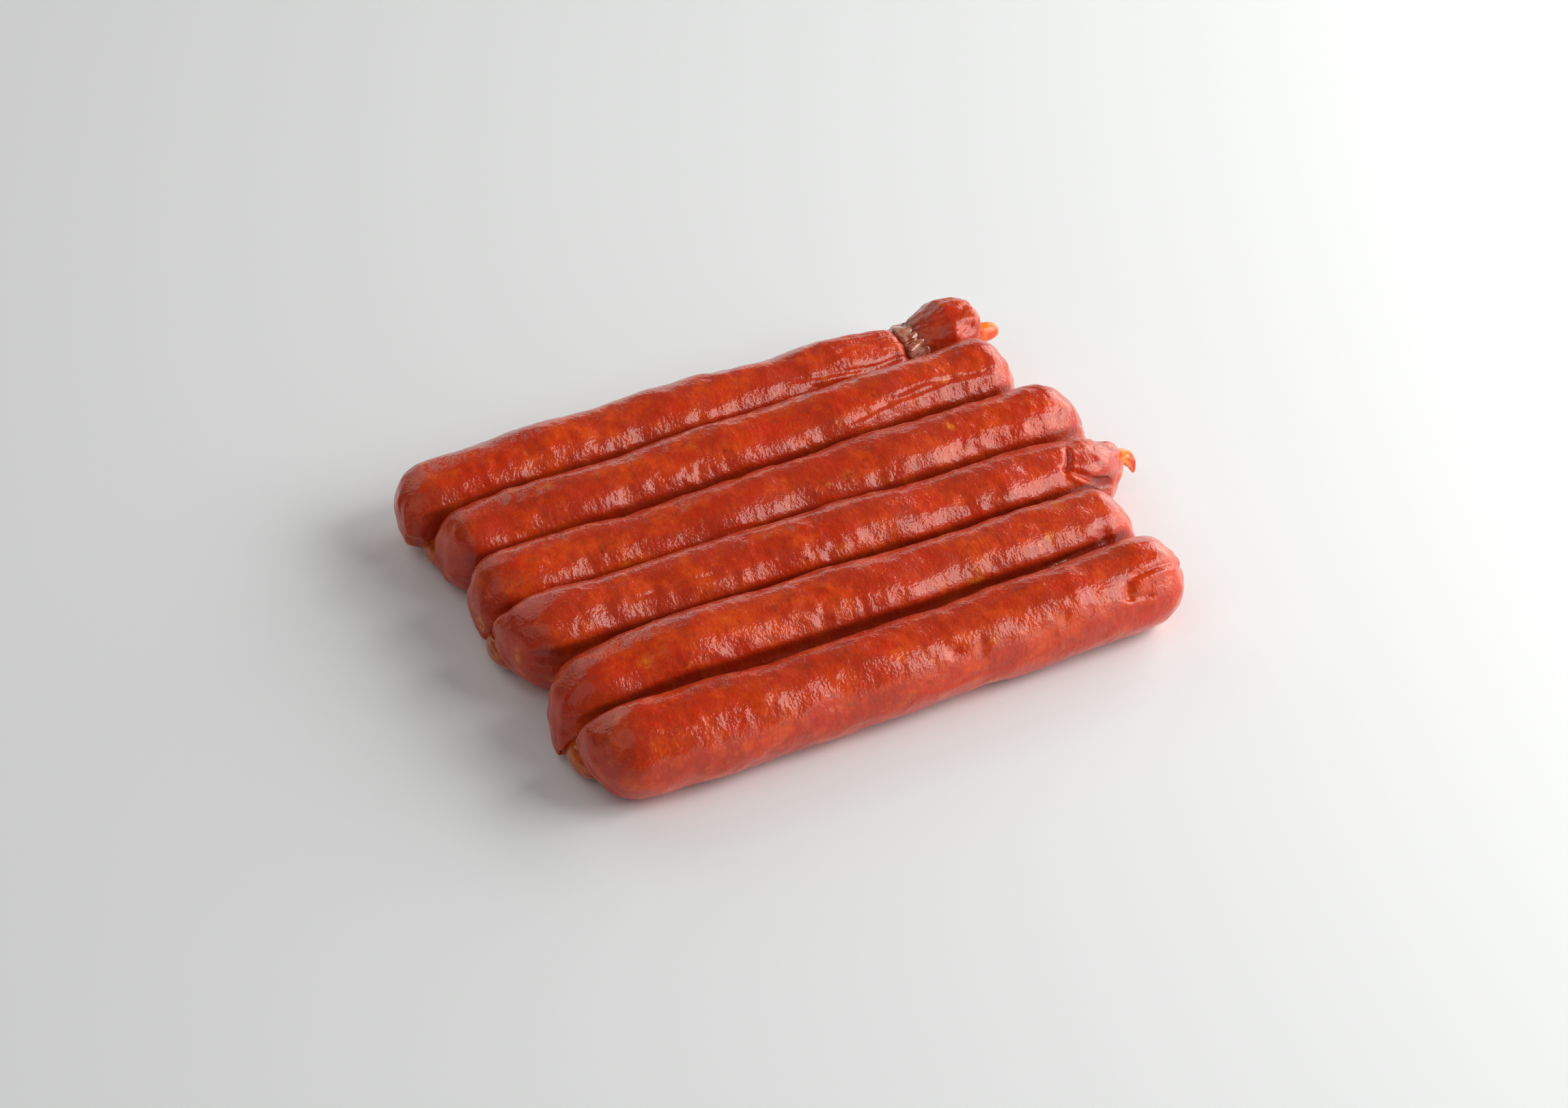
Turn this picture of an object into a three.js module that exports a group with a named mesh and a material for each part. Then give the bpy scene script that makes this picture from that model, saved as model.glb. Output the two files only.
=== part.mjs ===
// String of six smoked sausage links in natural casing, folded back and forth so that the links lie side by side.
// Millimetres, +Z up. X runs along the links, Y from the front link to the back one, and the string lies on Z = 0.
// The origin is the middle of the footprint.

import * as THREE from "three";
import { mergeVertices } from "three/addons/utils/BufferGeometryUtils.js";

// Casing and filling
const CASING_RADIUS = 12; // nominal radius of a filled link
const NESTLE = 0.98; // share of two radii that neighbours keep between their centre lines, as they press together
const SETTLE = 0.96; // share of its radius at which a link's centre line lies above the table
const CLEARANCE = 0.17; // half of the gap left between two pressed links
const GIVE = 0.9; // depth over which a pressed side flattens
const FRONT_GAP = 0.5; // slight parting between the two front links
const LUMP = 0.24; // height of the uneven meat under the casing
const JOINT_GAP = 0.3; // between a link's end and the twisted casing that leaves it

// The front link's centre line: its skew and bow across half of REACH, which is a link's length
const REACH = 180;
const FRONT_SKEW = 1.7;
const FRONT_BOW = 1.6;

// Facets
const SIDES = 24;
const DOME_RINGS = 6;
const BODY_RINGS = 17;
const DOME_POWER = 2.1; // 2 gives an ellipse, and more a blunter dome
const DRIFT_POWER = 1.3; // how late the dome bends towards a pole that lies off the axis
const PUCKER_FOLDS = 6;
const PUCKER_DEPTH = 0.35;

// Each link, from back to front: its girth at five even stations as a share of the nominal radius, and its two ends:
// the x of the pole, how far the pole lies off the link's axis, and the dome's length as a share of the radius.
const LINKS = [
  {
    name: "link_1",
    girth: [0.95, 0.97, 0.975, 0.94, 0.9],
    left: { x: -82.2, offY: -8, offZ: 0.5, length: 1.3 },
    right: { x: 70.0, offY: 0, offZ: 1.5, length: 0.55 },
  },
  {
    name: "link_2",
    girth: [0.93, 0.98, 1.0, 1.03, 1.06],
    left: { x: -77.8, offY: 4, offZ: -4, length: 0.85 },
    right: { x: 89.4, offY: -1, offZ: -2.5, length: 0.84 },
  },
  {
    name: "link_3",
    girth: [0.95, 0.93, 0.97, 1.02, 1.0],
    left: { x: -79.4, offY: -6, offZ: -2.5, length: 0.98 },
    right: { x: 97.6, offY: -2, offZ: -7, length: 1.15 },
  },
  {
    name: "link_4",
    girth: [1.05, 0.99, 1.02, 0.98, 0.92],
    left: { x: -80.0, offY: 8, offZ: 2, length: 1.4 },
    right: { x: 96.8, offY: 4, offZ: 1, length: 1.25 },
  },
  {
    name: "link_5",
    girth: [0.93, 1.05, 1.02, 0.98, 0.98],
    left: { x: -79.5, offY: -7, offZ: -7, length: 1.3 },
    right: { x: 85.4, offY: -3, offZ: -5.5, length: 1.05 },
  },
  {
    name: "link_6",
    girth: [0.98, 0.95, 0.94, 0.96, 0.985],
    left: { x: -78.3, offY: 7, offZ: 2, length: 1.18 },
    right: { x: 85.4, offY: 2, offZ: 1, length: 0.96 },
  },
];

// The rear link's tied end: a ruffled collar of gathered casing, a short nub of meat and the casing's knotted end
const COLLAR = { thickness: 2.4, radius: 9.2, ruffles: 8, ruffle: 0.05 };
const NUB = { length: 19.4, radius: 9.5, lift: 1.0, rise: 2.6, tilt: 0.14, nearPower: 12, farPower: 5, bump: 0.035 };
const KNOT = { radius: 2.1, stretch: 1.4, offY: -2.4, offZ: -2 };

// Twisted casing between two links, and the loose tail of casing on the fourth link's right end
const TWIST = { radius: 1.8, flare: 1.35, lobes: 3, lobe: 0.16, turns: 1.5, inset: 3.6, bow: 0.8, height: 5 };
const TAIL = { radius: 2.2, tip: 0.8, reach: 5.6, droop: 4.8, swing: 1.2, offY: -0.5, offZ: -0.8 };

const SKINS = {
  casing: new THREE.MeshStandardMaterial({ color: 0xb5391b, roughness: 0.28, metalness: 0 }),
  gathered: new THREE.MeshStandardMaterial({ color: 0x8a3b2a, roughness: 0.35, metalness: 0 }),
  fatty: new THREE.MeshStandardMaterial({ color: 0xd9721f, roughness: 0.4, metalness: 0 }),
};

/** Value at u (0 to 1) of evenly spaced samples, eased between one and the next. */
function eased(samples, u) {
  const place = THREE.MathUtils.clamp(u, 0, 1) * (samples.length - 1);
  const index = Math.min(Math.floor(place), samples.length - 2);
  const ease = THREE.MathUtils.smoothstep(place - index, 0, 1);
  return THREE.MathUtils.lerp(samples[index], samples[index + 1], ease);
}

/** A link's radius under the domes of its ends, at x. */
function radiusAt(link, x) {
  return CASING_RADIUS * eased(link.girth, (x - link.left.x) / (link.right.x - link.left.x));
}

/** y of a link's centre line at x. The front link is given, and each other one nestles against the link before it. */
function centreAt(index, x) {
  if (index === LINKS.length - 1) {
    const share = x / (REACH / 2);
    return FRONT_SKEW * share + FRONT_BOW * share * share;
  }
  const parting = index === LINKS.length - 2 ? FRONT_GAP : 0;
  const radii = radiusAt(LINKS[index], x) + radiusAt(LINKS[index + 1], x);
  return centreAt(index + 1, x) + NESTLE * radii + parting;
}

/** y of the wall between link index and the one in front of it, at x. */
function wallAt(index, x) {
  const rear = radiusAt(LINKS[index], x);
  const front = radiusAt(LINKS[index + 1], x);
  return THREE.MathUtils.lerp(centreAt(index + 1, x), centreAt(index, x), front / (rear + front));
}

/** Distance from the centre line, flattened smoothly where it would pass the limit. */
function pressed(distance, limit) {
  const start = limit - GIVE;
  return distance <= start ? distance : limit - GIVE * Math.exp((start - distance) / GIVE);
}

/** Uneven swelling of the filling at x and angle turn, different for each link. */
function lumpAt(index, x, turn) {
  const phase = 1.7 * index;
  return (
    LUMP *
    (Math.sin(x / 7.1 + phase + Math.sin(turn + phase)) +
      0.7 * Math.sin(x / 4.3 - 2 * turn + 2.3 * phase) +
      0.5 * Math.sin(x / 11.9 + 3 * turn - phase))
  );
}

/**
 * Closed skin made from a sphere's grid, with its poles on X. place(step, turn, target) puts a point, where step runs
 * from 0 at the low pole to rings at the high one.
 */
function skin(rings, sides, place) {
  const geometry = new THREE.SphereGeometry(1, sides, rings);
  const position = geometry.getAttribute("position");
  const point = new THREE.Vector3();
  for (let i = 0; i < position.count; i++) {
    const column = i % (sides + 1);
    const row = Math.floor(i / (sides + 1));
    const turn = ((column % sides) / sides) * 2 * Math.PI;
    place(rings - row, turn, point);
    position.setXYZ(i, point.x, point.y, point.z);
  }
  geometry.deleteAttribute("normal");
  geometry.deleteAttribute("uv");
  return mergeVertices(geometry, 1e-4);
}

/** Length of the dome at a link's end. */
function domeLength(link, end) {
  return end.length * radiusAt(link, end.x);
}

/** x of a link's ring: evenly spaced along its body, and closer together towards each pole. */
function ringAt(step, link) {
  const fromLeft = step / DOME_RINGS;
  const fromRight = (2 * DOME_RINGS + BODY_RINGS - step) / DOME_RINGS;
  const start = link.left.x + domeLength(link, link.left);
  const stop = link.right.x - domeLength(link, link.right);
  if (fromLeft < 1) return THREE.MathUtils.lerp(start, link.left.x, Math.cos((fromLeft * Math.PI) / 2));
  if (fromRight < 1) return THREE.MathUtils.lerp(stop, link.right.x, Math.cos((fromRight * Math.PI) / 2));
  return THREE.MathUtils.lerp(start, stop, (step - DOME_RINGS) / BODY_RINGS);
}

/** A link's cross-section at x: its centre, its radius, and how far it is open, from 0 at a pole to 1 on the body. */
function sectionAt(index, x) {
  const link = LINKS[index];
  const end = x < (link.left.x + link.right.x) / 2 ? link.left : link.right;
  const closed = THREE.MathUtils.clamp(1 - Math.abs(x - end.x) / domeLength(link, end), 0, 1);
  const open = Math.sqrt(1 - Math.pow(closed, DOME_POWER));
  const drift = Math.pow(1 - open, DRIFT_POWER);
  const radius = radiusAt(link, x);
  return {
    y: centreAt(index, x) + drift * end.offY,
    z: radius * SETTLE + drift * end.offZ,
    radius: open * radius,
    open,
  };
}

/** y of a link's flank at x and height z: its back one where side is 1, its front one where it is -1. */
function flankAt(index, x, z, side) {
  const section = sectionAt(index, x);
  return section.y + side * Math.sqrt(Math.max(0, section.radius ** 2 - (z - section.z) ** 2));
}

/** One link: a lumpy tube, pressed against its neighbours and the table, with a puckered dome at each end. */
function linkGeometry(index) {
  const link = LINKS[index];
  return skin(2 * DOME_RINGS + BODY_RINGS, SIDES, (step, turn, target) => {
    const x = ringAt(step, link);
    const section = sectionAt(index, x);
    const angle = turn - Math.PI / 2 + Math.PI / SIDES;
    const pucker = PUCKER_DEPTH * Math.cos(PUCKER_FOLDS * angle) * 4 * section.open * (1 - section.open);
    const reach = section.radius + section.open * lumpAt(index, x, angle) + pucker;
    const centre = centreAt(index, x);
    const y = section.y + reach * Math.cos(angle);
    const z = section.z + reach * Math.sin(angle);
    const behind = index > 0 ? wallAt(index - 1, x) - CLEARANCE - centre : Infinity;
    const before = index < LINKS.length - 1 ? centre - wallAt(index, x) - CLEARANCE : Infinity;
    const side = y >= centre ? pressed(y - centre, behind) : -pressed(centre - y, before);
    target.set(x, centre + side, Math.max(0, z));
  });
}

/** The point where the casing closes at a link's end: -1 for its left one, 1 for its right one. */
function poleOf(index, end) {
  const x = end < 0 ? LINKS[index].left.x : LINKS[index].right.x;
  const section = sectionAt(index, x);
  return new THREE.Vector3(x, section.y, section.z);
}

/** Closed tube along a curve, in a frame kept upright by Z. size(share, turn) is its radius. */
function tubeAlong(curve, rings, sides, size) {
  const up = new THREE.Vector3(0, 0, 1);
  return skin(rings, sides, (step, turn, target) => {
    const share = step / rings;
    const centre = curve.getPoint(share);
    const tangent = curve.getTangent(share);
    const across = new THREE.Vector3().crossVectors(up, tangent).normalize();
    const rise = new THREE.Vector3().crossVectors(tangent, across);
    const radius = size(share, turn);
    target.copy(centre);
    target.addScaledVector(across, radius * Math.cos(turn));
    target.addScaledVector(rise, radius * Math.sin(turn));
  });
}

/** Short rope of twisted casing in the notch between the ends of link index and the next one. */
function twistGeometry(index, end) {
  const [rear, front] = [LINKS[index], LINKS[index + 1]];
  const shorter = end < 0 ? Math.max(rear.left.x, front.left.x) : Math.min(rear.right.x, front.right.x);
  const x = shorter - end * TWIST.inset;
  const inner = x - end * TWIST.radius;
  const from = new THREE.Vector3(x, flankAt(index, inner, TWIST.height, -1) - JOINT_GAP, TWIST.height);
  const to = new THREE.Vector3(x, flankAt(index + 1, inner, TWIST.height, 1) + JOINT_GAP, TWIST.height);
  const middle = from.clone().lerp(to, 0.5);
  middle.x += end * TWIST.bow;
  const curve = new THREE.CatmullRomCurve3([from, middle, to]);
  return tubeAlong(curve, 10, 12, (share, turn) => {
    const outward = Math.abs(2 * share - 1);
    const round = Math.sqrt(Math.max(0, 1 - Math.pow(outward, 6)));
    const flare = 1 + (TWIST.flare - 1) * Math.pow(outward, 3);
    const lobes = 1 + TWIST.lobe * Math.cos(TWIST.lobes * turn - TWIST.turns * 2 * Math.PI * share);
    return TWIST.radius * round * flare * lobes;
  });
}

/** Ruffled collar of gathered casing between the rear link and its nub. */
function collarGeometry(start) {
  return skin(4, 24, (step, turn, target) => {
    const share = step / 4;
    const round = Math.sqrt(Math.max(0, 1 - Math.pow(Math.abs(2 * share - 1), 3)));
    const radius = COLLAR.radius * round * (1 + COLLAR.ruffle * Math.cos(COLLAR.ruffles * turn));
    const x = start.x + share * COLLAR.thickness;
    target.set(x, start.y + radius * Math.cos(turn), start.z + radius * Math.sin(turn));
  });
}

/** Short nub of meat past the collar, tilted up, blunt at the collar and round at its far end. */
function nubGeometry(start) {
  const rings = 14;
  return skin(rings, SIDES, (step, turn, target) => {
    const share = step / rings;
    const near = 1 - Math.pow(1 - share, NUB.nearPower);
    const far = 1 - Math.pow(share, NUB.farPower);
    const bumps = 1 + NUB.bump * Math.sin(3 * turn + 7 * share);
    const radius = NUB.radius * Math.sqrt(Math.max(0, near * far)) * bumps;
    const reached = 0.5 - 0.5 * Math.cos(Math.PI * share);
    const lean = NUB.tilt * radius * Math.sin(turn) * reached;
    target.set(
      start.x + NUB.length * reached - lean,
      start.y + radius * Math.cos(turn),
      start.z + NUB.rise * reached + radius * Math.sin(turn),
    );
  });
}

/** Bead of casing knotted at the nub's end. */
function knotGeometry(centre) {
  return skin(8, 12, (step, turn, target) => {
    const polar = (step / 8) * Math.PI;
    const radius = KNOT.radius * Math.sin(polar);
    target.set(
      centre.x - KNOT.stretch * KNOT.radius * Math.cos(polar),
      centre.y + radius * Math.cos(turn),
      centre.z + radius * Math.sin(turn),
    );
  });
}

/** Loose tail of casing that droops from a link's end. */
function tailGeometry(start) {
  const knee = start.clone().add(new THREE.Vector3(0.75 * TAIL.reach, -TAIL.swing / 2, 0));
  const tip = start.clone().add(new THREE.Vector3(TAIL.reach, -TAIL.swing, -TAIL.droop));
  const curve = new THREE.QuadraticBezierCurve3(start, knee, tip);
  return tubeAlong(curve, 8, 10, (share, turn) => {
    const round = Math.sqrt(Math.max(0, 1 - Math.pow(Math.abs(2 * share - 1), 7)));
    const folds = 1 + 0.12 * Math.cos(3 * turn + 4 * share);
    return THREE.MathUtils.lerp(TAIL.radius, TAIL.tip, share) * round * folds;
  });
}

/** Named mesh in the string's group. */
function piece(name, geometry, material) {
  const mesh = new THREE.Mesh(geometry, material);
  mesh.name = name;
  return mesh;
}

const string = new THREE.Group();
LINKS.forEach((link, index) => string.add(piece(link.name, linkGeometry(index), SKINS.casing)));
for (let index = 0; index < LINKS.length - 1; index++) {
  const end = index % 2 === 0 ? -1 : 1;
  string.add(piece(`twist_${index + 1}_${index + 2}`, twistGeometry(index, end), SKINS.gathered));
}

// The rear link's tied end, piece after piece along X
const collarStart = poleOf(0, 1).add(new THREE.Vector3(JOINT_GAP, 0, 0));
const nubStart = collarStart.clone().add(new THREE.Vector3(COLLAR.thickness + JOINT_GAP, 0, NUB.lift));
const knotX = NUB.length + JOINT_GAP + KNOT.stretch * KNOT.radius;
const knotCentre = nubStart.clone().add(new THREE.Vector3(knotX, KNOT.offY, NUB.rise + KNOT.offZ));
string.add(piece("nub_collar", collarGeometry(collarStart), SKINS.gathered));
string.add(piece("end_nub", nubGeometry(nubStart), SKINS.casing));
string.add(piece("casing_knot", knotGeometry(knotCentre), SKINS.fatty));

const tailStart = poleOf(3, 1).add(new THREE.Vector3(JOINT_GAP, TAIL.offY, TAIL.offZ));
string.add(piece("casing_tail", tailGeometry(tailStart), SKINS.fatty));

// The footprint's middle becomes the origin
const box = new THREE.Box3().setFromObject(string);
const middle = box.getCenter(new THREE.Vector3());
string.position.set(-middle.x, -middle.y, -box.min.z);

export default string;
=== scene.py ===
"""A folded string of six smoked sausage links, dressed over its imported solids.

Every visible piece is a fine skin laid over one solid of the frame: the six links, the tied nub with its collar and
bead, the loose tail, and the ropes of twisted casing between the links. Sizes are in metres, +Z is up, X runs along the
links and Y from the front link to the rear one.
"""

import logging
from collections.abc import Callable
from dataclasses import dataclass, field
from enum import Enum
from math import cos, pi, radians, sin, tau

import bpy
import numpy as np
from mathutils import Matrix, Vector


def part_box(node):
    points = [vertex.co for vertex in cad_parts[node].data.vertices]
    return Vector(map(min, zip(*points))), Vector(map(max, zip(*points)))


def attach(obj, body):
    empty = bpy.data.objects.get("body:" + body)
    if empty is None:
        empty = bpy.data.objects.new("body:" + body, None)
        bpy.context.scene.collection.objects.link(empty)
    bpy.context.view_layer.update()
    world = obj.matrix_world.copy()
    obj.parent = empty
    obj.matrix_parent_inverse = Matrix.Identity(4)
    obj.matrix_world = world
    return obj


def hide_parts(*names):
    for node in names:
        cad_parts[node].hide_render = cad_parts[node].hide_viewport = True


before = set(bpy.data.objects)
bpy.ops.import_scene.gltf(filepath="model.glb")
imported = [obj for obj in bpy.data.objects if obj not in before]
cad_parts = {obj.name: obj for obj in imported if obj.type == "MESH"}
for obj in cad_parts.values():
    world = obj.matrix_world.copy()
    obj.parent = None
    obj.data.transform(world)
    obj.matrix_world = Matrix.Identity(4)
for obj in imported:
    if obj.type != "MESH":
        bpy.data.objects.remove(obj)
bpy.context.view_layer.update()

MM = 0.001
# Name of the mesh attribute that holds painted shade: how much the colour is darkened in the crevices between the
# links.
PAINTED_SHADE_ATTRIBUTE = "crevice"
log = logging.getLogger("sausages")

Socket = bpy.types.NodeSocket
Colour = tuple[float, float, float, float]
Triple = tuple[float, float, float]


def bell(distance: np.ndarray, width: float) -> np.ndarray:
    """A bell curve of the distance: 1 at 0, and almost 0 beyond twice the width."""
    return np.exp(-((distance / width) ** 2))


def eased(share: np.ndarray) -> np.ndarray:
    """A share from 0 to 1 that starts and stops softly."""
    return share * share * (3.0 - 2.0 * share)


def crowded(share: np.ndarray) -> np.ndarray:
    """A share from 0 to 1 that moves slowly near both ends, which crowds rings there."""
    return 0.5 - 0.5 * np.cos(pi * share)


def wrapped(angle: np.ndarray) -> np.ndarray:
    """The same angle in radians, at most half a turn to either side of 0."""
    return (angle + pi) % tau - pi


def placed(name: str, data: bpy.types.ID) -> bpy.types.Object:
    """Makes an object from its data and puts it into the scene."""
    thing = bpy.data.objects.new(name, data)
    bpy.context.scene.collection.objects.link(thing)
    return thing


def corners(node: str) -> tuple[np.ndarray, np.ndarray]:
    """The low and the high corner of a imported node's box."""
    low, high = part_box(node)
    return np.array(low), np.array(high)


class Slot(Enum):
    """The record's material slots."""

    CASING = "casing"
    GATHERED = "gathered_casing"
    FATTY = "fatty_casing"


class LatticeNoise:
    """Smooth noise in space, blended from random values on a repeating lattice."""

    SIZE = 48

    def __init__(self, seed: int) -> None:
        """Draws the lattice.

        Args:
            seed: the same seed always gives the same noise.
        """
        draw = np.random.default_rng(seed)
        self.values = draw.uniform(-1.0, 1.0, (self.SIZE, self.SIZE, self.SIZE))
        self.offset = draw.uniform(0.0, self.SIZE, 3)

    def at(self, points: np.ndarray, wavelength: float) -> np.ndarray:
        """Noise at some points.

        Args:
            points: array whose last axis holds x, y and z, in metres.
            wavelength: the size of its lumps, in metres.

        Returns:
            Values from -1 to 1, one for each point.
        """
        place = points / wavelength + self.offset
        cell = np.floor(place).astype(int)
        part = eased(place - cell)
        total = np.zeros(points.shape[:-1])
        for corner in np.ndindex(2, 2, 2):
            index = (cell + np.array(corner)) % self.SIZE
            weight = np.prod(np.where(np.array(corner) == 1, part, 1.0 - part), axis=-1)
            total += weight * self.values[index[..., 0], index[..., 1], index[..., 2]]
        return total


def hermite(knots: np.ndarray, values: np.ndarray, places: np.ndarray) -> np.ndarray:
    """Smooth curve through some values.

    Args:
        knots: rising positions of the values.
        values: array whose first axis follows the knots.
        places: where the curve is wanted.

    Returns:
        The curve's values, with the places along the first axis.
    """
    slopes = np.gradient(values, knots, axis=0)
    index = np.clip(np.searchsorted(knots, places, side="right") - 1, 0, len(knots) - 2)
    span = knots[index + 1] - knots[index]
    share = (places - knots[index]) / span
    shape = (-1,) + (1,) * (values.ndim - 1)
    t, h = share.reshape(shape), span.reshape(shape)
    start = (2 * t**3 - 3 * t**2 + 1) * values[index] + (t**3 - 2 * t**2 + t) * h * slopes[index]
    stop = (3 * t**2 - 2 * t**3) * values[index + 1] + (t**3 - t**2) * h * slopes[index + 1]
    return start + stop


@dataclass
class Skin:
    """A closed skin as a grid of rings, each with the same number of points, closed by a point at either pole.

    shade, where there is one, is painted shade: how much each point's colour is darkened in the crevice by a neighbour.
    """

    points: np.ndarray
    first_pole: np.ndarray
    last_pole: np.ndarray
    shade: np.ndarray | None = None

    def normals(self) -> np.ndarray:
        """Outward normals of the rings' points."""
        still = self.points[:1] * 0
        rows = np.concatenate([still + self.first_pole, self.points, still + self.last_pole])
        along = rows[2:] - rows[:-2]
        around = np.roll(self.points, -1, axis=1) - np.roll(self.points, 1, axis=1)
        normal = np.cross(around, along)
        return normal / np.maximum(np.linalg.norm(normal, axis=-1, keepdims=True), 1e-12)

    def swell(self, height: np.ndarray) -> None:
        """Moves each point along its normal.

        Args:
            height: the distance for each point, in metres.
        """
        self.points = self.points + self.normals() * height[..., None]

    def rest_on_table(self) -> None:
        """Flattens whatever reaches below the table."""
        self.points[..., 2] = np.maximum(self.points[..., 2], 0.0)

    def piece(self, name: str, material: bpy.types.Material, nodes: list[str], slot: Slot) -> bpy.types.Object:
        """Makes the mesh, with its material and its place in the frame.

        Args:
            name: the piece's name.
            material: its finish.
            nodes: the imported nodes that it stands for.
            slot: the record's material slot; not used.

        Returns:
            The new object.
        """
        rings, sides = self.points.shape[:2]
        vertices = np.concatenate([self.points.reshape(-1, 3), self.first_pole[None], self.last_pole[None]])
        first, last = rings * sides, rings * sides + 1
        column = np.arange(sides)
        beside = (column + 1) % sides
        faces = [
            np.stack([row + column, row + beside, row + sides + beside, row + sides + column], axis=1)
            for row in sides * np.arange(rings - 1)
        ]
        quads = np.concatenate(faces).tolist()
        top = (rings - 1) * sides
        fans = [[first, int(b), int(a)] for a, b in zip(column, beside)]
        fans += [[last, int(top + a), int(top + b)] for a, b in zip(column, beside)]
        mesh = bpy.data.meshes.new(name)
        mesh.from_pydata(vertices.tolist(), [], quads + fans)
        mesh.update()
        mesh.shade_smooth()
        # Painted shade: the darkening of the crevices is stored on the mesh for the material to read.
        if self.shade is not None:
            shade = mesh.attributes.new(PAINTED_SHADE_ATTRIBUTE, "FLOAT", "POINT")
            shade.data.foreach_set("value", np.concatenate([self.shade.ravel(), [0.0, 0.0]]).astype(np.float32))
        thing = placed(name, mesh)
        thing.data.materials.append(material)
        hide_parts(*nodes)
        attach(thing, "root")
        log.info("%s: %d faces", name, len(mesh.polygons))
        return thing


class Graph:
    """Short way to lay out the nodes of a material or a world."""

    def __init__(
        self, owner: bpy.types.Material | bpy.types.World, shader: str = "Principled BSDF", space: str = "Object"
    ) -> None:
        """Starts with the nodes that the owner has from the outset.

        Args:
            owner: a new material or world.
            shader: the name of the node that all others lead to.
            space: which coordinates they use.
        """
        owner.use_nodes = True
        self.owner = owner
        self.tree = owner.node_tree
        self.shader = self.tree.nodes[shader]
        self.coordinates = self.node("ShaderNodeTexCoord").outputs[space]

    def node(self, kind: str, inputs: dict[str | int, object] | None = None, **settings: object) -> bpy.types.Node:
        """Adds a node.

        Args:
            kind: Blender's name of the node's type.
            inputs: what its sockets hold: a number, a colour, or another node's output, which is linked.
            **settings: the node's own properties.

        Returns:
            The new node.
        """
        made = self.tree.nodes.new(kind)
        for key, value in settings.items():
            setattr(made, key, value)
        for key, value in (inputs or {}).items():
            if isinstance(value, Socket):
                self.tree.links.new(value, made.inputs[key])
            else:
                made.inputs[key].default_value = value
        return made

    def noise(
        self,
        size: float,
        detail: float = 2.0,
        roughness: float = 0.5,
        squeeze: Triple = (1.0, 1.0, 1.0),
    ) -> Socket:
        """Noise over the object.

        Args:
            size: the size of its lumps, in metres.
            detail: how many finer layers it has.
            roughness: how strong the finer layers are.
            squeeze: a value below 1 draws the lumps out along that axis.

        Returns:
            The noise, from 0 to 1.
        """
        place = self.node("ShaderNodeVectorMath", {0: self.coordinates, 1: squeeze}, operation="MULTIPLY").outputs[0]
        inputs = {"Vector": place, "Scale": 1.0 / size, "Detail": detail, "Roughness": roughness}
        return self.node("ShaderNodeTexNoise", inputs).outputs["Fac"]

    def bent(self, amount: float, size: float) -> Socket:
        """The object's coordinates, pushed about by noise.

        Args:
            amount: how far they are pushed, in metres.
            size: the size of the noise's lumps, in metres.

        Returns:
            The bent coordinates.
        """
        inputs = {"Vector": self.coordinates, "Scale": 1.0 / size, "Detail": 2.0}
        colour = self.node("ShaderNodeTexNoise", inputs).outputs["Color"]
        centred = self.node("ShaderNodeVectorMath", {0: colour, 1: (0.5, 0.5, 0.5)}, operation="SUBTRACT")
        push = self.node("ShaderNodeVectorMath", {0: centred.outputs[0], "Scale": 2.0 * amount}, operation="SCALE")
        total = {0: self.coordinates, 1: push.outputs[0]}
        return self.node("ShaderNodeVectorMath", total, operation="ADD").outputs[0]

    def ramp(self, value: Socket, low: float, high: float, to: tuple[float, float] = (0.0, 1.0)) -> Socket:
        """The value from low to high, brought smoothly to the range of to."""
        inputs = {"Value": value, "From Min": low, "From Max": high, "To Min": to[0], "To Max": to[1]}
        return self.node("ShaderNodeMapRange", inputs, interpolation_type="SMOOTHSTEP").outputs["Result"]

    def times(self, one: Socket, other: Socket | float) -> Socket:
        """The product of two values."""
        return self.node("ShaderNodeMath", {0: one, 1: other}, operation="MULTIPLY").outputs[0]

    def plus(self, one: Socket, other: Socket | float) -> Socket:
        """The sum of two values."""
        return self.node("ShaderNodeMath", {0: one, 1: other}, operation="ADD").outputs[0]

    def flecks(self, size: float, share: float, radius: float, blur: float) -> Socket:
        """Scattered flecks.

        Args:
            size: the spacing of the places where a fleck may lie, in metres.
            share: the share of those places that have one.
            radius: a fleck's radius as a share of the spacing.
            blur: the width of its soft edge as a share of the spacing.

        Returns:
            1 inside a fleck and 0 outside.
        """
        bent = self.bent(0.35 * size, 0.7 * size)
        inputs = {"Vector": bent, "Scale": 1.0 / size, "Randomness": 0.95}
        cells = self.node("ShaderNodeTexVoronoi", inputs)
        inside = self.ramp(cells.outputs["Distance"], radius, radius + blur, to=(1.0, 0.0))
        chance = self.node("ShaderNodeSeparateColor", {0: cells.outputs["Color"]}).outputs[0]
        chosen = self.ramp(chance, 1.0 - share - 0.02, 1.0 - share + 0.02)
        return self.times(inside, chosen)

    def mix(self, amount: Socket, under: object, over: object) -> Socket:
        """One colour over another.

        Args:
            amount: how much of the upper colour shows, from 0 to 1.
            under: the lower colour, or the output that holds it.
            over: the upper colour, or the output that holds it.

        Returns:
            The mixed colour.
        """
        inputs = {"Factor": amount, 6: under, 7: over}
        return self.node("ShaderNodeMix", inputs, data_type="RGBA").outputs[2]

    def bump(self, height: Socket, depth: float) -> None:
        """Gives the shader and its coat a bump.

        Args:
            height: the bump's height, from 0 to 1.
            depth: the depth that a height of 1 stands for, in metres.
        """
        made = self.node("ShaderNodeBump", {"Height": height, "Distance": depth, "Strength": 1.0})
        self.tree.links.new(made.outputs["Normal"], self.shader.inputs["Normal"])
        self.tree.links.new(made.outputs["Normal"], self.shader.inputs["Coat Normal"])

    def set(self, **values: object) -> None:
        """Sets or links the shader's sockets, whose names are given with _ for each space."""
        for key, value in values.items():
            socket = self.shader.inputs[key.replace("_", " ")]
            if isinstance(value, Socket):
                self.tree.links.new(value, socket)
            else:
                socket.default_value = value


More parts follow.
